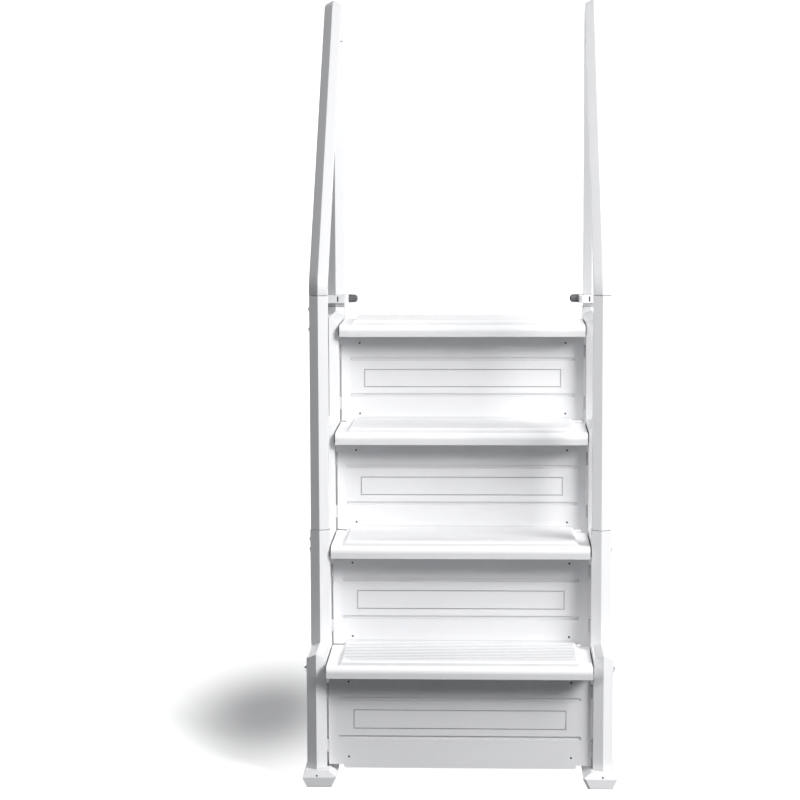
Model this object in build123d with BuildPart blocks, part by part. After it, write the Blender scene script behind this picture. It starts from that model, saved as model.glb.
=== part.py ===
from build123d import *
import math
import os

# Pool ladder with four moulded treads between two stepped side panels.
# Units are millimetres, +Z up, -Y towards the person climbing it, floor at Z = 0.

# Overall layout
DEPTH = 854.0
FRONT = -DEPTH / 2
RISE = 245.0
GOING = 170.0
NOSE_Z = 255.0
TREADS = 4

# Side frame, measured from the centre plane of each side
SIDE_X = 327.5
SLOPE = 12.0 / 22.5
TAPER = math.degrees(math.atan(SLOPE))
PANEL_HALF = 22.5
WALL = 4.0
PANEL_FOOT_Z = 31.0
LEG_D = 32.0
POST_D = 192.0
REAR_D = 790.0
REAR_RIDGE = 816.0
SLEEVE_HALF_D = 26.0
POST_SEAT_Z = 567.0
REAR_SEAT_Z = 1046.0
SOCKET_DEPTH = 84.0

# Hexagonal tubes of posts and handrails
TUBE_HALF = 21.0
TUBE_HALF_D = 24.0
TUBE_WALL = 3.0
POST_TOP_Z = 1114.0
BEND_Z = 1140.0
CROWN_Z = 1847.0
REAR_TOP_Z = 1720.0
FIT = 0.3
SEAM = 1.0

# Treads and risers
TREAD_HALF = 302.0
TREAD_DEPTH = 227.5
LEDGE = 28.0
PAD = 10.5
RISER_SET = 58.0
RISER_DEEP = 14.0
RISER_HALF = 300.5
RISER_DROP = 214.0
RISER_SKIN = 4.0
BOLT_DS = (58.0, 172.0)
BOLT_Z = 12.0
RIBS = 12
RIB_FIRST = 45.0
RIB_PITCH = 15.5
TAB_DROPS = (41.0, 170.0)
GROOVE_DROPS = (60.0, 150.0)
GROOVE_HALF = 278.0
GROOVE_H = 8.0
FRAME_DROP = 107.5
FRAME_HALF = 244.0
FRAME_H = 45.0
VENT_X = 255.0
VENT_DROPS = (20.0, 196.0)
VENT_R = 2.4

# Shoe under each panel
FOOT_D = 7.0
FOOT_LONG = 815.0
FOOT_TOP = 36.0
FOOT_WIDE_Z = 24.0

# Deck clamp
COLLAR_Z = 1056.0
COLLAR_H = 20.0
COLLAR_MID = COLLAR_Z + COLLAR_H / 2
KNOB_R = 11.0
KNOB_FLUTES = 10
KNOB_FACE_X = 294.6
KNOB_LONG = 18.6


def y_at(d):
    """Y of a point d behind the lowest nose."""
    return FRONT + d


def hexagon(half_w, half_d):
    """Corners of the tube section: flats on the sides, ridges front and back."""
    flat = half_d - SLOPE * half_w
    return [(0, half_d), (half_w, flat), (half_w, -flat), (0, -half_d), (-half_w, -flat), (-half_w, flat)]


def inner_hex(half_w, half_d, wall):
    """Section left after taking a wall thickness off every face."""
    return hexagon(half_w - wall, half_d - wall * math.hypot(1, SLOPE))


def at(x, d, z):
    """Horizontal plane with its origin on a tube axis."""
    return Plane(origin=(x, y_at(d), z))


def finish(builder, name):
    """Name one piece and write it to its own file."""
    builder.part.label = name
    export_step(builder.part, f"parts/{name}.step")


os.makedirs("parts", exist_ok=True)

panel_outline = [
    (y_at(LEG_D), 0),
    (y_at(LEG_D), 304),
    (y_at(166), 304),
    (y_at(166), 549),
    (y_at(348), 549),
    (y_at(348), 794),
    (y_at(518), 794),
    (y_at(518), 1036),
    (y_at(REAR_RIDGE), 1036),
    (y_at(REAR_RIDGE), 0),
]
web_runs = [
    (424, 292, 752, 5),
    (491, 536, 618, 5),
    (582, 781, 436, 5),
    (350, 290, 5, 480),
    (560, 404, 5, 720),
]
bolt_spots = [(GOING * i + d, NOSE_Z + RISE * i + BOLT_Z) for i in range(TREADS) for d in BOLT_DS]
tab_spots = [
    (GOING * i + RISER_SET + 5, NOSE_Z + RISE * i - drop) for i in range(TREADS) for drop in TAB_DROPS
]
foot_spots = [(120, 60), (410, 60), (700, 60)]
tube_screw_spots = [
    (POST_D, POST_TOP_Z - 33),
    (POST_D, POST_TOP_Z - 80),
    (REAR_D, REAR_TOP_Z - 27),
]
sleeve_screw_spots = [(POST_D, POST_SEAT_Z - 24), (REAR_D, REAR_SEAT_Z - 34)]

for side, sx in (("left", -1), ("right", 1)):
    x = sx * SIDE_X
    outer = x + sx * PANEL_HALF
    inner = x - sx * PANEL_HALF
    tube_out = x + sx * TUBE_HALF
    tube_in = x - sx * TUBE_HALF

    # Stepped side panel: hollow moulding, every edge brought to a ridge
    with BuildPart() as side_panel:
        with BuildSketch(Plane.YZ.offset(x)):
            Polygon(*panel_outline, align=None)
        extrude(amount=PANEL_HALF, both=True, taper=TAPER)
        for d, z in ((POST_D, POST_SEAT_Z), (REAR_D, REAR_SEAT_Z)):
            with BuildSketch(at(x, d, z - 50)):
                Polygon(*hexagon(PANEL_HALF, SLEEVE_HALF_D), align=None)
            extrude(amount=50)
        with BuildSketch(Plane.YZ.offset(x)):
            Polygon(*panel_outline, align=None)
            offset(amount=-WALL * math.hypot(1, SLOPE), kind=Kind.INTERSECTION, mode=Mode.REPLACE)
        extrude(amount=PANEL_HALF - WALL, both=True, taper=TAPER, mode=Mode.SUBTRACT)
        with Locations(*[(x, y_at(d), z) for d, z in bolt_spots]):
            Cylinder(9, 2 * PANEL_HALF, rotation=(0, 90, 0))
        for d, z, long, tall in web_runs:
            with Locations((x, y_at(d), z)):
                Box(2 * PANEL_HALF - 2, long, tall)
        for d, z in ((POST_D, POST_SEAT_Z), (REAR_D, REAR_SEAT_Z)):
            with BuildSketch(at(x, d, z)):
                Polygon(*hexagon(PANEL_HALF, SLEEVE_HALF_D), align=None)
            extrude(amount=-SOCKET_DEPTH)
            with BuildSketch(at(x, d, z)):
                Polygon(*inner_hex(PANEL_HALF, SLEEVE_HALF_D, WALL), align=None)
            extrude(amount=-SOCKET_DEPTH - 5, mode=Mode.SUBTRACT)
        with Locations(*[(x, y_at(d), z) for d, z in bolt_spots]):
            Cylinder(4.4, 2 * PANEL_HALF + 2, rotation=(0, 90, 0), mode=Mode.SUBTRACT)
        with Locations(*[(inner, y_at(d), z) for d, z in tab_spots]):
            Box(2 * WALL + 2, 8 + 2 * FIT, 30 + 2 * FIT, mode=Mode.SUBTRACT)
        with Locations(*[(outer, y_at(d), z) for d, z in sleeve_screw_spots + foot_spots]):
            Cylinder(2.6, 3 * WALL, rotation=(0, 90, 0), mode=Mode.SUBTRACT)
        with Locations((x, 0, PANEL_FOOT_Z / 2)):
            Box(60, 2 * DEPTH, PANEL_FOOT_Z, mode=Mode.SUBTRACT)
    finish(side_panel, f"{side}_side_panel")

    # Straight tubes with a reduced plug at the foot that drops into the panel socket
    for name, d, seat, top in (
        ("front_post", POST_D, POST_SEAT_Z, POST_TOP_Z),
        ("rear_tube", REAR_D, REAR_SEAT_Z, REAR_TOP_Z),
    ):
        plug_w = PANEL_HALF - WALL - FIT
        plug_d = SLEEVE_HALF_D - WALL * math.hypot(1, SLOPE) - FIT
        with BuildPart() as straight_tube:
            with BuildSketch(at(x, d, seat + SEAM)):
                Polygon(*hexagon(TUBE_HALF, TUBE_HALF_D), align=None)
            extrude(amount=top - seat - 2 * SEAM)
            with BuildSketch(at(x, d, seat + SEAM)):
                Polygon(*hexagon(plug_w, plug_d), align=None)
            extrude(amount=-SOCKET_DEPTH + 3)
            with BuildSketch(at(x, d, seat + 3)):
                Polygon(*inner_hex(TUBE_HALF, TUBE_HALF_D, TUBE_WALL), align=None)
            extrude(amount=top - seat, mode=Mode.SUBTRACT)
            with BuildSketch(at(x, d, seat + 4)):
                Polygon(*inner_hex(plug_w, plug_d, TUBE_WALL), align=None)
            extrude(amount=-SOCKET_DEPTH - 4, mode=Mode.SUBTRACT)
            with Locations(*[(tube_out, y_at(e), z) for e, z in tube_screw_spots + sleeve_screw_spots]):
                Cylinder(2.6, 4 * TUBE_WALL, rotation=(0, 90, 0), mode=Mode.SUBTRACT)
        finish(straight_tube, f"{side}_{name}")

    # Handrail: one tube bent back over the post and down onto the rear tube
    with BuildPart() as handrail_arm:
        with BuildLine(Plane.YZ.offset(x)) as rail_line:
            Polyline(
                (y_at(POST_D), POST_TOP_Z),
                (y_at(POST_D), BEND_Z),
                (y_at(REAR_D), CROWN_Z),
                (y_at(REAR_D), REAR_TOP_Z),
            )
            fillet(rail_line.vertices().sort_by(Axis.Z)[-1], radius=28)
            fillet(rail_line.vertices().sort_by(Axis.Z)[1], radius=50)
        with BuildSketch(at(x, POST_D, POST_TOP_Z)):
            Polygon(*hexagon(TUBE_HALF, TUBE_HALF_D), align=None)
            Polygon(*inner_hex(TUBE_HALF, TUBE_HALF_D, TUBE_WALL), align=None, mode=Mode.SUBTRACT)
        sweep()
    finish(handrail_arm, f"{side}_handrail_arm")

    # Hidden spigots that line up the two handrail joints
    for name, d, low, high in (
        ("post_spigot", POST_D, POST_TOP_Z - 94, POST_TOP_Z + 6),
        ("rear_spigot", REAR_D, REAR_TOP_Z - 60, REAR_TOP_Z + 30),
    ):
        spigot_w = TUBE_HALF - TUBE_WALL - 0.2
        spigot_d = TUBE_HALF_D - TUBE_WALL * math.hypot(1, SLOPE) - 0.2
        with BuildPart() as spigot:
            with BuildSketch(at(x, d, low)):
                Polygon(*hexagon(spigot_w, spigot_d), align=None)
                Polygon(*inner_hex(spigot_w, spigot_d, 2.5), align=None, mode=Mode.SUBTRACT)
            extrude(amount=high - low)
            with Locations(*[(tube_out, y_at(e), z) for e, z in tube_screw_spots]):
                Cylinder(2.5, 14, rotation=(0, 90, 0), mode=Mode.SUBTRACT)
        finish(spigot, f"{side}_{name}")

    # Long shoe under the panel, with upstands that go up into its open foot
    with BuildPart() as foot:
        with BuildSketch(Plane.XZ.offset(-y_at(FOOT_D))):
            Polygon(
                (sx * 292, 0),
                (sx * 348, 0),
                (sx * 358, 20),
                (sx * 358, FOOT_WIDE_Z),
                (sx * 353, FOOT_TOP),
                (sx * 300, FOOT_TOP),
                (sx * 282, FOOT_WIDE_Z),
                (sx * 282, 20),
                align=None,
            )
        extrude(amount=-FOOT_LONG)
        front_sides = foot.faces().sort_by(Axis.Y)[0].edges().filter_by_position(Axis.Z, 5, 15)
        chamfer(front_sides.sort_by(Axis.X)[0 if sx > 0 else -1], length=6)
        top_ends = foot.edges().filter_by(Axis.X).filter_by_position(Axis.Z, FOOT_TOP - 1, FOOT_TOP + 1)
        chamfer(top_ends, length=13)
        with BuildSketch(Plane.XY.offset(PANEL_FOOT_Z)):
            with Locations((x, 0)):
                Polygon(
                    (-PANEL_HALF - FIT, y_at(LEG_D + 12)),
                    (0, y_at(LEG_D) - FIT),
                    (PANEL_HALF + FIT, y_at(LEG_D + 12)),
                    (PANEL_HALF + FIT, y_at(REAR_RIDGE - 12)),
                    (0, y_at(REAR_RIDGE) + FIT),
                    (-PANEL_HALF - FIT, y_at(REAR_RIDGE - 12)),
                    align=None,
                )
        extrude(amount=20, mode=Mode.SUBTRACT)
        for i in range(9):
            with Locations((sx * 320, y_at(62 + 88 * i), 11)):
                Box(44, 78, 24, mode=Mode.SUBTRACT)
        for d, z in foot_spots:
            with Locations((x, y_at(d), PANEL_FOOT_Z + 24)):
                Box(2 * (PANEL_HALF - WALL - FIT), 60, 50)
            with Locations((x, y_at(d), PANEL_FOOT_Z + 24)):
                Box(24, 48, 56, mode=Mode.SUBTRACT)
            with Locations((outer, y_at(d), z)):
                Cylinder(2.5, 26, rotation=(0, 90, 0), mode=Mode.SUBTRACT)
        with Locations((sx * 326, y_at(12), 26)):
            Cylinder(2.2, 24, rotation=(90, 0, 0), mode=Mode.SUBTRACT)
    finish(foot, f"{side}_foot")

    # Dome-headed bolts, washers and captive nuts that hold the treads
    with BuildPart() as tread_bolts:
        for d, z in bolt_spots:
            with BuildSketch(Plane.YZ.offset(outer + sx * 1.6)):
                with Locations((y_at(d), z)):
                    Circle(8)
            extrude(amount=sx * 4, taper=30)
            with BuildSketch(Plane.YZ.offset(outer + sx * 1.6)):
                with Locations((y_at(d), z)):
                    Circle(4)
            extrude(amount=-sx * 98.6)
            with BuildSketch(Plane.YZ.offset(outer + sx * 5.6)):
                with Locations((y_at(d), z)):
                    RegularPolygon(2.9, 6)
            extrude(amount=-sx * 2.5, mode=Mode.SUBTRACT)
    finish(tread_bolts, f"{side}_tread_bolts")

    with BuildPart() as tread_washers:
        with BuildSketch(Plane.YZ.offset(outer)):
            with Locations(*[(y_at(d), z) for d, z in bolt_spots]):
                Circle(10)
                Circle(4.3, mode=Mode.SUBTRACT)
        extrude(amount=sx * 1.6)
    finish(tread_washers, f"{side}_tread_washers")

    with BuildPart() as tread_nuts:
        with BuildSketch(Plane.YZ.offset(sx * 262)):
            with Locations(*[(y_at(d), z) for d, z in bolt_spots]):
                RegularPolygon(7.5, 6)
                Circle(4, mode=Mode.SUBTRACT)
        extrude(amount=-sx * 6.5)
    finish(tread_nuts, f"{side}_tread_nuts")

    # Pan-head screws of the tube joints and of the foot
    with BuildPart() as tube_screws:
        for face, spots in ((tube_out, tube_screw_spots), (outer, sleeve_screw_spots)):
            with BuildSketch(Plane.YZ.offset(face)):
                with Locations(*[(y_at(d), z) for d, z in spots]):
                    Circle(5.5)
            extrude(amount=sx * 2.8, taper=18)
            with BuildSketch(Plane.YZ.offset(face)):
                with Locations(*[(y_at(d), z) for d, z in spots]):
                    Circle(2.5)
            extrude(amount=-sx * 9)
    finish(tube_screws, f"{side}_tube_screws")

    with BuildPart() as foot_screws:
        with BuildSketch(Plane.YZ.offset(outer)):
            with Locations(*[(y_at(d), z) for d, z in foot_spots]):
                Circle(5.5)
        extrude(amount=sx * 2.8, taper=18)
        with BuildSketch(Plane.YZ.offset(outer)):
            with Locations(*[(y_at(d), z) for d, z in foot_spots]):
                Circle(2.5)
        extrude(amount=-sx * 10)
    finish(foot_screws, f"{side}_foot_screws")

    # Deck collar that slides on the rear tube, with its screw-down flange
    with BuildPart() as clamp_collar:
        with BuildSketch(at(x, REAR_D, COLLAR_Z)):
            RectangleRounded(2 * 32.5, 2 * 34, 12)
        extrude(amount=COLLAR_H)
        chamfer(clamp_collar.faces().sort_by(Axis.Z)[-1].edges(), length=1.5)
        with BuildSketch(at(x, REAR_D + 47, COLLAR_Z)):
            RectangleRounded(60, 34, 6)
        extrude(amount=8)
        with BuildSketch(at(x, REAR_D, COLLAR_Z)):
            Polygon(*hexagon(TUBE_HALF + 0.4, TUBE_HALF_D + 0.45), align=None)
        extrude(amount=COLLAR_H, mode=Mode.SUBTRACT)
        with Locations((x - sx * 5.5, y_at(REAR_D - 30), COLLAR_MID)):
            Box(3.4, 16, 13, mode=Mode.SUBTRACT)
        with Locations(*[(x + dx, y_at(REAR_D + 52), COLLAR_Z + 4) for dx in (-18, 18)]):
            Cylinder(3, 10, mode=Mode.SUBTRACT)
        with Locations((sx * 300, y_at(REAR_D), COLLAR_MID)):
            Cylinder(5, 14, rotation=(0, 90, 0), mode=Mode.SUBTRACT)
    finish(clamp_collar, f"{side}_clamp_collar")

    with BuildPart() as clamp_insert:
        with BuildSketch(Plane.YZ.offset(sx * 295)):
            with Locations((y_at(REAR_D), COLLAR_MID)):
                Circle(5)
                Circle(3.4, mode=Mode.SUBTRACT)
        extrude(amount=sx * 11)
    finish(clamp_insert, f"{side}_clamp_insert")

    # Fluted knob and its threaded stud
    with BuildPart() as clamp_knob:
        with BuildSketch(Plane.YZ.offset(sx * KNOB_FACE_X)):
            with Locations((y_at(REAR_D), COLLAR_MID)):
                Circle(KNOB_R)
                with PolarLocations(KNOB_R + 0.6, KNOB_FLUTES):
                    Circle(1.7, mode=Mode.SUBTRACT)
        extrude(amount=-sx * KNOB_LONG, taper=4)
        with BuildSketch(Plane.YZ.offset(sx * (KNOB_FACE_X - KNOB_LONG))):
            with Locations((y_at(REAR_D), COLLAR_MID)):
                Circle(8)
        extrude(amount=-sx * 3.4, taper=35)
        with Locations((sx * 290, y_at(REAR_D), COLLAR_MID)):
            Cylinder(3, 12, rotation=(0, 90, 0), mode=Mode.SUBTRACT)
    finish(clamp_knob, f"{side}_clamp_knob")

    with BuildPart() as knob_stud:
        with BuildSketch(Plane.YZ.offset(sx * 284)):
            with Locations((y_at(REAR_D), COLLAR_MID)):
                Circle(3)
        extrude(amount=sx * 21.7)
    finish(knob_stud, f"{side}_knob_stud")

for i in range(TREADS):
    nose = y_at(GOING * i)
    base = NOSE_Z + RISE * i

    # Tread: rounded nose, end ledges, raised ribbed pad, open ribbed underside
    with BuildPart() as tread:
        with BuildSketch(Plane.YZ.offset(-TREAD_HALF)):
            with BuildLine():
                Polyline((nose + 12, base + LEDGE), (nose + TREAD_DEPTH, base + LEDGE), (nose + TREAD_DEPTH, base))
                Polyline((nose + TREAD_DEPTH, base), (nose + 1.5, base), (nose, base + 12.5))
                ThreePointArc((nose, base + 12.5), (nose + 3.2, base + 22.6), (nose + 12, base + LEDGE))
            make_face()
        extrude(amount=2 * TREAD_HALF)
        with BuildSketch(Plane.XZ.offset(-(nose + 14))):
            Polygon(
                (-276, base + LEDGE),
                (276, base + LEDGE),
                (266, base + LEDGE + PAD),
                (-266, base + LEDGE + PAD),
                align=None,
            )
        extrude(amount=-(TREAD_DEPTH - 14))
        front_rim = tread.edges().filter_by(Axis.X).filter_by_position(Axis.Z, base + 38, base + 39)
        chamfer(front_rim.sort_by(Axis.Y)[0], length=4)
        for k in range(RIBS):
            with Locations((0, nose + RIB_FIRST + RIB_PITCH * k, base + LEDGE + PAD)):
                Box(560, 5, 8, mode=Mode.SUBTRACT)
        for k in range(2):
            with Locations((0, nose + 26 + 7 * k, base + LEDGE + PAD)):
                Box(500, 2, 3, mode=Mode.SUBTRACT)
        with BuildSketch(Plane.XY.offset(base)):
            with Locations((0, nose + 12 + 105.5)):
                Rectangle(2 * TREAD_HALF - 8, 211)
        extrude(amount=LEDGE - 4, mode=Mode.SUBTRACT)
        with BuildSketch(Plane.XY.offset(base + 10)):
            with Locations((0, nose + 25 + 99)):
                Rectangle(520, 198)
        extrude(amount=21, mode=Mode.SUBTRACT)
        with Locations(*[(80 * k, nose + 116, base + 12) for k in range(-3, 4)]):
            Box(3, 216, 24)
        with Locations(*[(80 * k, nose + 122, base + 26) for k in range(-3, 4)]):
            Box(3, 200, 12)
        with Locations((0, nose + 120, base + 16)):
            Box(2 * 262, 3, 32)
        with Locations(*[(s * 281.5, nose + d, base + BOLT_Z) for s in (-1, 1) for d in BOLT_DS]):
            Cylinder(9, 39, rotation=(0, 90, 0))
        with Locations(*[(s * 283, nose + d, base + BOLT_Z) for s in (-1, 1) for d in BOLT_DS]):
            Cylinder(4.4, 60, rotation=(0, 90, 0), mode=Mode.SUBTRACT)
    finish(tread, f"tread_{i + 1}")

    # Riser: thin grooved board, ribs behind, two tabs at each end
    with BuildPart() as riser:
        with BuildSketch(Plane.XZ.offset(-(nose + RISER_SET))) as face:
            with Locations((0, base - RISER_DROP / 2)):
                Rectangle(2 * RISER_HALF, RISER_DROP)
            with Locations((0, base - RISER_DROP)):
                Rectangle(2 * 267, 16)
            fillet(face.vertices().group_by(Axis.Y)[0], radius=6)
        extrude(amount=-RISER_DEEP)
        with BuildSketch(Plane.XZ.offset(-(nose + RISER_SET + RISER_SKIN))):
            for k in range(-3, 4):
                with Locations((84 * k, base - 54), (84 * k, base - 156)):
                    Rectangle(80, 98)
        extrude(amount=-RISER_DEEP, mode=Mode.SUBTRACT)
        with BuildSketch(Plane.XZ.offset(-(nose + RISER_SET))):
            with Locations(*[(0, base - drop) for drop in GROOVE_DROPS]):
                SlotOverall(2 * GROOVE_HALF, GROOVE_H)
        extrude(amount=-2.4, mode=Mode.SUBTRACT)
        with BuildSketch(Plane.XZ.offset(-(nose + RISER_SET))):
            with Locations((0, base - FRAME_DROP)):
                Rectangle(2 * FRAME_HALF, FRAME_H)
                Rectangle(2 * FRAME_HALF - 4, FRAME_H - 4, mode=Mode.SUBTRACT)
        extrude(amount=-1.6, mode=Mode.SUBTRACT)
        vents = [(s * VENT_X, base - drop) for s in (-1, 1) for drop in VENT_DROPS]
        with BuildSketch(Plane.XZ.offset(-(nose + RISER_SET + 1))):
            with Locations(*vents):
                Circle(VENT_R + 2.6)
        extrude(amount=-13)
        with BuildSketch(Plane.XZ.offset(-(nose + RISER_SET))):
            with Locations(*vents):
                Circle(VENT_R)
        extrude(amount=-12.5, mode=Mode.SUBTRACT)
        for s in (-1, 1):
            for drop in TAB_DROPS:
                with Locations((s * (RISER_HALF + 7.5), nose + RISER_SET + 5, base - drop)):
                    Box(17, 8, 30)
    finish(riser, f"riser_{i + 1}")
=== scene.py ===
import bpy
import math
from mathutils import Matrix, Vector

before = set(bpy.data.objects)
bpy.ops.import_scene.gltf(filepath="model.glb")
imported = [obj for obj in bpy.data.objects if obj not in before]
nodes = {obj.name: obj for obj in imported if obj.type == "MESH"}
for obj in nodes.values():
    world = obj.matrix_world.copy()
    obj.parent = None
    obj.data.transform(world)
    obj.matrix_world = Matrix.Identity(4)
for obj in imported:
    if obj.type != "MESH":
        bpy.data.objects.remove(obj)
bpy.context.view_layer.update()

scene = bpy.context.scene


# ---------------------------------------------------------------- shader parts
def shader(name):
    mat = bpy.data.materials.new(name)
    mat.use_nodes = True
    tree = mat.node_tree
    return mat, tree, tree.nodes["Principled BSDF"]


def noise(tree, coords, scale, detail, rough=0.5, stretch=(1.0, 1.0, 1.0)):
    mapping = tree.nodes.new("ShaderNodeMapping")
    mapping.inputs["Scale"].default_value = stretch
    tree.links.new(coords, mapping.inputs["Vector"])
    tex = tree.nodes.new("ShaderNodeTexNoise")
    tex.inputs["Scale"].default_value = scale
    tex.inputs["Detail"].default_value = detail
    tex.inputs["Roughness"].default_value = rough
    tree.links.new(mapping.outputs["Vector"], tex.inputs["Vector"])
    return tex.outputs["Fac"]


def spread(tree, value, low, high, lo=0.3, hi=0.7):
    """Map a value from the range lo..hi to the range low..high."""
    node = tree.nodes.new("ShaderNodeMapRange")
    node.inputs["From Min"].default_value = lo
    node.inputs["From Max"].default_value = hi
    node.inputs["To Min"].default_value = low
    node.inputs["To Max"].default_value = high
    tree.links.new(value, node.inputs["Value"])
    return node.outputs["Result"]


def blend_colour(tree, value, first, second, lo=0.35, hi=0.65):
    ramp = tree.nodes.new("ShaderNodeValToRGB")
    ramp.color_ramp.elements[0].position = lo
    ramp.color_ramp.elements[0].color = (*first, 1)
    ramp.color_ramp.elements[1].position = hi
    ramp.color_ramp.elements[1].color = (*second, 1)
    tree.links.new(value, ramp.inputs["Fac"])
    return ramp.outputs["Color"]


def bump(tree, height, strength, distance, normal=None):
    node = tree.nodes.new("ShaderNodeBump")
    node.inputs["Strength"].default_value = strength
    node.inputs["Distance"].default_value = distance
    tree.links.new(height, node.inputs["Height"])
    if normal is not None:
        tree.links.new(normal, node.inputs["Normal"])
    return node.outputs["Normal"]


def object_coords(tree):
    return tree.nodes.new("ShaderNodeTexCoord").outputs["Object"]


# ---------------------------------------------------------------- materials
# Painted shade in grooves, seams and holes: how far it reaches in metres, and its colour
PAINTED_SHADE_REACH = 0.011
PAINTED_SHADE_COLOUR = (0.015, 0.017, 0.022)


def painted_crevice_shade(tree, unshaded_colour):
    """Paint shade into grooves, seams and holes: the colour darkens where close surfaces hem a point
    in.
    """
    corner = tree.nodes.new("ShaderNodeAmbientOcclusion")
    corner.samples = 6
    corner.inputs["Distance"].default_value = PAINTED_SHADE_REACH
    mix = tree.nodes.new("ShaderNodeMix")
    mix.data_type = "RGBA"
    mix.inputs["A"].default_value = (*PAINTED_SHADE_COLOUR, 1)
    openness = spread(tree, corner.outputs["AO"], low=0.0, high=1.0, lo=0.14, hi=0.58)
    tree.links.new(openness, mix.inputs["Factor"])
    tree.links.new(unshaded_colour, mix.inputs["B"])
    return mix.outputs["Result"]


def resin(name, first, second, rough, grain, grain_depth, stretch=(1, 1, 1)):
    """White moulding: faint cloudiness, painted shade in crevices, patchy gloss, fine grain and slow
    sink marks.
    """
    mat, tree, bsdf = shader(name)
    co = object_coords(tree)
    clouds = noise(tree, co, scale=3.5, detail=5)
    unshaded_colour = blend_colour(tree, clouds, first, second)
    # The base colour carries painted shade in crevices
    tree.links.new(painted_crevice_shade(tree, unshaded_colour), bsdf.inputs["Base Color"])
    patches = noise(tree, co, scale=14, detail=6, rough=0.6, stretch=stretch)
    tree.links.new(spread(tree, patches, *rough), bsdf.inputs["Roughness"])
    sink = noise(tree, co, scale=7, detail=1)
    slow = bump(tree, sink, strength=0.25, distance=0.0012)
    grains = noise(tree, co, scale=grain, detail=3, rough=0.6, stretch=stretch)
    fine = bump(tree, grains, strength=0.35, distance=grain_depth, normal=slow)
    tree.links.new(fine, bsdf.inputs["Normal"])
    bsdf.inputs["IOR"].default_value = 1.49
    bsdf.inputs["Specular IOR Level"].default_value = 0.45
    bsdf.inputs["Subsurface Weight"].default_value = 0.04
    bsdf.inputs["Subsurface Radius"].default_value = (0.004, 0.0035, 0.003)
    bsdf.inputs["Subsurface Scale"].default_value = 1.0
    return mat


def pebbled(name, first, second, rough):
    """Tread moulding: the same resin with a leather-like anti-slip grain."""
    mat = resin(name, first, second, rough, grain=900, grain_depth=0.0002)
    tree = mat.node_tree
    bsdf = tree.nodes["Principled BSDF"]
    co = object_coords(tree)
    cells = tree.nodes.new("ShaderNodeTexVoronoi")
    cells.feature = "SMOOTH_F1"
    cells.inputs["Scale"].default_value = 420
    tree.links.new(co, cells.inputs["Vector"])
    below = bsdf.inputs["Normal"].links[0].from_socket
    pebbles = bump(tree, cells.outputs["Distance"], strength=0.3, distance=0.0006, normal=below)
    tree.links.new(pebbles, bsdf.inputs["Normal"])
    return mat


def metal(name, tint, rough, stretch):
    """Turned or drawn metal with fine directional lines."""
    mat, tree, bsdf = shader(name)
    co = object_coords(tree)
    darker = tuple(0.78 * c for c in tint)
    stains = noise(tree, co, scale=60, detail=4)
    tree.links.new(blend_colour(tree, stains, darker, tint), bsdf.inputs["Base Color"])
    lines = noise(tree, co, scale=500, detail=4, rough=0.7, stretch=stretch)
    tree.links.new(spread(tree, lines, *rough), bsdf.inputs["Roughness"])
    tree.links.new(bump(tree, lines, strength=0.25, distance=0.0001), bsdf.inputs["Normal"])
    bsdf.inputs["Metallic"].default_value = 1.0
    bsdf.inputs["Anisotropic"].default_value = 0.4
    return mat


def dark_plastic(name, first, second):
    """Knob plastic: mottled dark grey with shinier patches."""
    mat, tree, bsdf = shader(name)
    co = object_coords(tree)
    mottle = noise(tree, co, scale=240, detail=6)
    tree.links.new(blend_colour(tree, mottle, first, second), bsdf.inputs["Base Color"])
    patches = noise(tree, co, scale=90, detail=4)
    tree.links.new(spread(tree, patches, low=0.34, high=0.58), bsdf.inputs["Roughness"])
    grains = noise(tree, co, scale=1500, detail=3)
    tree.links.new(bump(tree, grains, strength=0.3, distance=0.0002), bsdf.inputs["Normal"])
    return mat


WHITE = (0.86, 0.86, 0.872)
COOL = (0.89, 0.89, 0.90)
ALONG_TUBE = (1, 1, 0.15)
TURNED = (1, 9, 9)
FACED = (9, 1, 1)

panel_mat = resin("resin_side_panel", WHITE, COOL, (0.42, 0.56), grain=700, grain_depth=0.00025)
tube_mat = resin(
    "resin_tube", (0.865, 0.865, 0.88), COOL, (0.34, 0.48),
    grain=600, grain_depth=0.0002, stretch=ALONG_TUBE,
)
riser_mat = resin(
    "resin_riser", (0.85, 0.85, 0.865), (0.88, 0.88, 0.89), (0.40, 0.54),
    grain=800, grain_depth=0.00025,
)
foot_mat = resin(
    "resin_foot", (0.82, 0.82, 0.83), (0.86, 0.86, 0.87), (0.48, 0.62),
    grain=500, grain_depth=0.0004,
)
collar_mat = resin("resin_collar", WHITE, COOL, (0.36, 0.50), grain=900, grain_depth=0.0002)
spigot_mat = resin(
    "resin_spigot", (0.60, 0.60, 0.59), (0.66, 0.66, 0.65), (0.50, 0.64),
    grain=500, grain_depth=0.0003,
)
tread_mat = pebbled("resin_tread", WHITE, COOL, (0.40, 0.55))
steel_bolt = metal("steel_bolt", (0.66, 0.66, 0.67), (0.20, 0.36), TURNED)
steel_washer = metal("steel_washer", (0.60, 0.60, 0.61), (0.28, 0.44), FACED)
steel_nut = metal("steel_nut", (0.56, 0.56, 0.57), (0.26, 0.42), FACED)
steel_screw = metal("steel_screw", (0.63, 0.63, 0.64), (0.22, 0.38), TURNED)
steel_stud = metal("steel_stud", (0.58, 0.58, 0.60), (0.24, 0.40), FACED)
brass_mat = metal("brass_insert", (0.72, 0.52, 0.22), (0.22, 0.38), FACED)
knob_mat = dark_plastic("knob_plastic", (0.10, 0.10, 0.11), (0.19, 0.19, 0.20))

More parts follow.
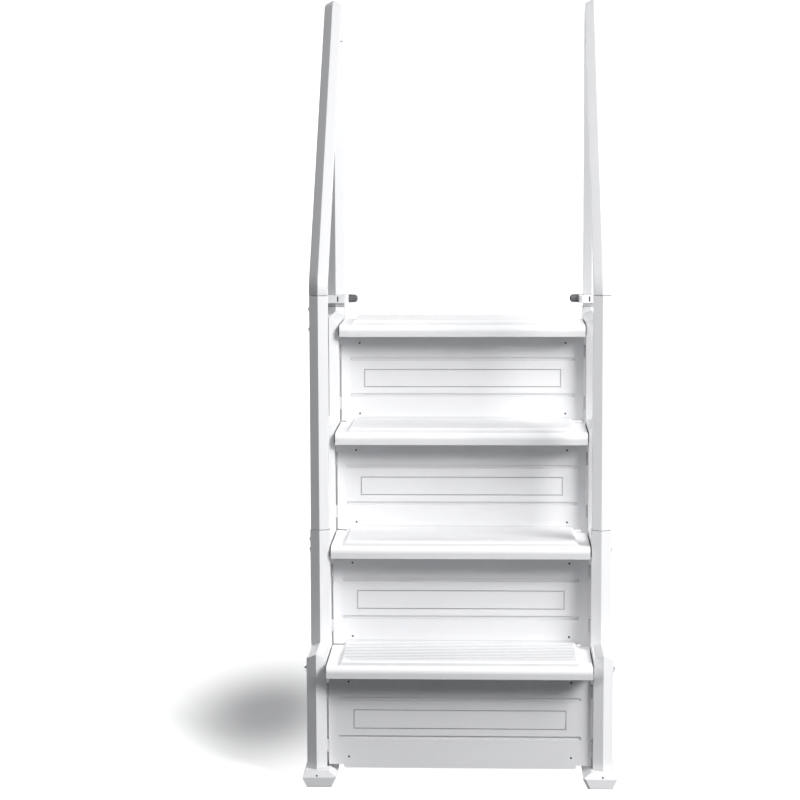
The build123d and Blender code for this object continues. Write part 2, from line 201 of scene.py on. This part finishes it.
# Materials by how a node's name starts or ends
STARTS = {"tread_": tread_mat, "riser_": riser_mat}
ENDS = {
    "side_panel": panel_mat,
    "front_post": tube_mat,
    "handrail_arm": tube_mat,
    "rear_tube": tube_mat,
    "foot": foot_mat,
    "clamp_collar": collar_mat,
    "spigot": spigot_mat,
    "tread_bolts": steel_bolt,
    "tread_washers": steel_washer,
    "tread_nuts": steel_nut,
    "screws": steel_screw,
    "clamp_insert": brass_mat,
    "clamp_knob": knob_mat,
    "knob_stud": steel_stud,
}

# Rounded edges in metres, by how a node's name ends
ROUND = {
    "side_panel": 0.0016,
    "front_post": 0.0004,
    "rear_tube": 0.0004,
    "handrail_arm": 0.0012,
    "foot": 0.0016,
    "clamp_collar": 0.0008,
    "clamp_knob": 0.0004,
}
ROUND_STEPS = 0.0007
ROUND_OTHERS = 0.0003
WELD_GAP = 0.00002
EDGE_ANGLE = math.radians(25)
FACE_WEIGHT = 100


def look_of(name):
    for start, mat in STARTS.items():
        if name.startswith(start):
            return mat
    return [mat for end, mat in ENDS.items() if name.endswith(end)][0]


def rounding_of(name):
    if name.startswith(tuple(STARTS)):
        return ROUND_STEPS
    sizes = [size for end, size in ROUND.items() if name.endswith(end)]
    return sizes[0] if sizes else ROUND_OTHERS


def dress(name, obj):
    """Give a CAD node its material, rounded edges and smooth shading."""
    mesh = obj.data
    mesh.materials.clear()
    mesh.materials.append(look_of(name))
    for attribute in ("custom_normal", "sharp_edge", "sharp_face"):
        if attribute in mesh.attributes:
            mesh.attributes.remove(mesh.attributes[attribute])
    weld = obj.modifiers.new("weld", "WELD")
    weld.merge_threshold = WELD_GAP
    bevel = obj.modifiers.new("bevel", "BEVEL")
    bevel.width = rounding_of(name)
    bevel.segments = 2
    bevel.limit_method = "ANGLE"
    bevel.angle_limit = EDGE_ANGLE
    bevel.harden_normals = True
    bevel.use_clamp_overlap = True
    flat = obj.modifiers.new("flat_faces", "WEIGHTED_NORMAL")
    flat.weight = FACE_WEIGHT
    for poly in mesh.polygons:
        poly.use_smooth = True


for node_name, node in nodes.items():
    dress(node_name, node)


# ---------------------------------------------------------------- studio
FLOOR_HALF = 9.0
CURVE_START = 3.2
CURVE_RADIUS = 1.6
CURVE_STEPS = 12
WALL_TOP = 7.0
# Where the painted shadow on the floor sits, and how it is stretched
PAINTED_SHADOW_SHIFT = (0.96, -0.22, 0.0)
PAINTED_SHADOW_SQUEEZE = (1.9, 0.85, 1.0)


def paper():
    """Pale paper that glows, except for a painted shadow: the glow fades around one place left of
    the ladder.
    """
    mat, tree, bsdf = shader("paper_backdrop")
    co = object_coords(tree)
    clouds = noise(tree, co, scale=1.3, detail=3)
    pale = blend_colour(tree, clouds, (0.88, 0.88, 0.88), (0.90, 0.90, 0.90))
    tree.links.new(pale, bsdf.inputs["Base Color"])
    bsdf.inputs["Roughness"].default_value = 0.9
    bsdf.inputs["Specular IOR Level"].default_value = 0.1
    bsdf.inputs["Emission Color"].default_value = (1, 1, 1, 1)
    # Painted shadow: the emission dims towards one spot left of the ladder
    squeeze = tree.nodes.new("ShaderNodeMapping")
    squeeze.inputs["Location"].default_value = PAINTED_SHADOW_SHIFT
    squeeze.inputs["Scale"].default_value = PAINTED_SHADOW_SQUEEZE
    tree.links.new(co, squeeze.inputs["Vector"])
    away = tree.nodes.new("ShaderNodeVectorMath")
    away.operation = "LENGTH"
    tree.links.new(squeeze.outputs["Vector"], away.inputs[0])
    glow = spread(tree, away.outputs["Value"], low=0.27, high=0.95, lo=0.05, hi=0.60)
    glow.node.interpolation_type = "SMOOTHSTEP"
    tree.links.new(glow, bsdf.inputs["Emission Strength"])
    return mat


def backdrop():
    """Floor that curves up into a plain wall."""
    profile = [(-FLOOR_HALF, 0.0)]
    for k in range(CURVE_STEPS + 1):
        a = math.radians(90 * k / CURVE_STEPS)
        y = CURVE_START + CURVE_RADIUS * math.sin(a)
        profile.append((y, CURVE_RADIUS - CURVE_RADIUS * math.cos(a)))
    profile.append((CURVE_START + CURVE_RADIUS, WALL_TOP))
    verts = [(x, y, z) for y, z in profile for x in (-FLOOR_HALF, FLOOR_HALF)]
    faces = [(2 * k, 2 * k + 1, 2 * k + 3, 2 * k + 2) for k in range(len(profile) - 1)]
    mesh = bpy.data.meshes.new("backdrop")
    mesh.from_pydata(verts, [], faces)
    for poly in mesh.polygons:
        poly.use_smooth = True
    obj = bpy.data.objects.new("backdrop", mesh)
    scene.collection.objects.link(obj)
    mesh.materials.append(paper())
    obj.visible_diffuse = False


backdrop()


def softbox(name, place, target, size, power):
    """Rectangular area light at a place, turned towards a target."""
    light = bpy.data.lights.new(name, "AREA")
    light.shape = "RECTANGLE"
    light.size, light.size_y = size
    light.energy = power
    obj = bpy.data.objects.new(name, light)
    obj.location = place
    obj.rotation_euler = (Vector(target) - Vector(place)).to_track_quat("-Z", "Y").to_euler()
    scene.collection.objects.link(obj)
    return obj


def lit_only(light_obj, label, wanted):
    """Let a light reach just the nodes whose names pass a test."""
    group = bpy.data.collections.new(label)
    for name, obj in nodes.items():
        if wanted(name):
            group.objects.link(obj)
    light_obj.light_linking.receiver_collection = group


MIDDLE = (0.0, 0.0, 0.8)

softbox("key", place=(3.6, -3.1, 3.75), target=MIDDLE, size=(2.7, 2.7), power=350)

# The other lights reach only some nodes, which brings their tones near the photo's
front = softbox("front", place=(0.2, -4.0, 4.4), target=MIDDLE, size=(1.6, 1.6), power=42)
lit_only(front, "all_but_left_arm", lambda name: name != "left_handrail_arm")
side_fill = softbox(
    "side_fill", place=(-2.6, -3.6, 2.0), target=(0.33, 0.0, 0.9), size=(1.6, 1.6), power=55
)
lit_only(side_fill, "right_side", lambda name: name.startswith("right_"))
step_light = softbox(
    "step_light", place=(0.1, -1.9, 5.2), target=(0.0, 0.0, 0.6), size=(1.6, 1.3), power=62
)
lit_only(step_light, "steps", lambda name: name.startswith(("tread_", "riser_")))

for back_name, back_place, back_power in (
    ("back_left", (-2.4, 2.7, 2.7), 52),
    ("back_right", (2.6, 2.5, 3.0), 26),
):
    back = softbox(
        back_name, place=back_place, target=(0.0, 0.1, 0.8), size=(1.8, 1.8), power=back_power
    )
    back.visible_camera = False
    lit_only(back, back_name + "_reach", lambda name: True)


def surroundings():
    """Dim bluish light for the surfaces, and a paler grey where the camera sees past the floor."""
    world = bpy.data.worlds.new("studio")
    scene.world = world
    world.use_nodes = True
    tree = world.node_tree
    ambient = tree.nodes["Background"]
    ambient.inputs["Color"].default_value = (0.86, 0.92, 1.0, 1)
    ambient.inputs["Strength"].default_value = 0.068
    pale_wall = tree.nodes.new("ShaderNodeBackground")
    pale_wall.inputs["Color"].default_value = (0.62, 0.63, 0.65, 1)
    ray = tree.nodes.new("ShaderNodeLightPath")
    either = tree.nodes.new("ShaderNodeMixShader")
    tree.links.new(ray.outputs["Is Camera Ray"], either.inputs["Fac"])
    tree.links.new(ambient.outputs["Background"], either.inputs[1])
    tree.links.new(pale_wall.outputs["Background"], either.inputs[2])
    tree.links.new(either.outputs["Shader"], tree.nodes["World Output"].inputs["Surface"])


surroundings()

scene.view_settings.view_transform = "Standard"
scene.view_settings.look = "None"
scene.view_settings.exposure = 0.0

# ---------------------------------------------------------------- camera
# Fitted to the photo with the ladder's sizes held fixed; angles in radians, place in metres
PITCH, YAW, ROLL = 0.1127, 0.04119, -0.00382
CAMERA_PLACE = (0.0738, -5.4173, 1.4573)
FOCAL_PX = 2250
IMAGE_PX = 800
SENSOR_MM = 36.0
FAR_LIMIT = 60

ahead = Vector((-math.sin(YAW) * math.cos(PITCH), math.cos(YAW) * math.cos(PITCH), -math.sin(PITCH)))
right = Vector((math.cos(YAW), math.sin(YAW), 0))
up = right.cross(ahead)
turn = Matrix((right, up, -ahead)).transposed().to_4x4() @ Matrix.Rotation(ROLL, 4, "Z")
camera = bpy.data.cameras.new("camera")
camera.sensor_width = SENSOR_MM
camera.lens = SENSOR_MM * FOCAL_PX / IMAGE_PX
camera.clip_end = FAR_LIMIT
camera_obj = bpy.data.objects.new("camera", camera)
camera_obj.matrix_world = Matrix.Translation(CAMERA_PLACE) @ turn
scene.collection.objects.link(camera_obj)
scene.camera = camera_obj
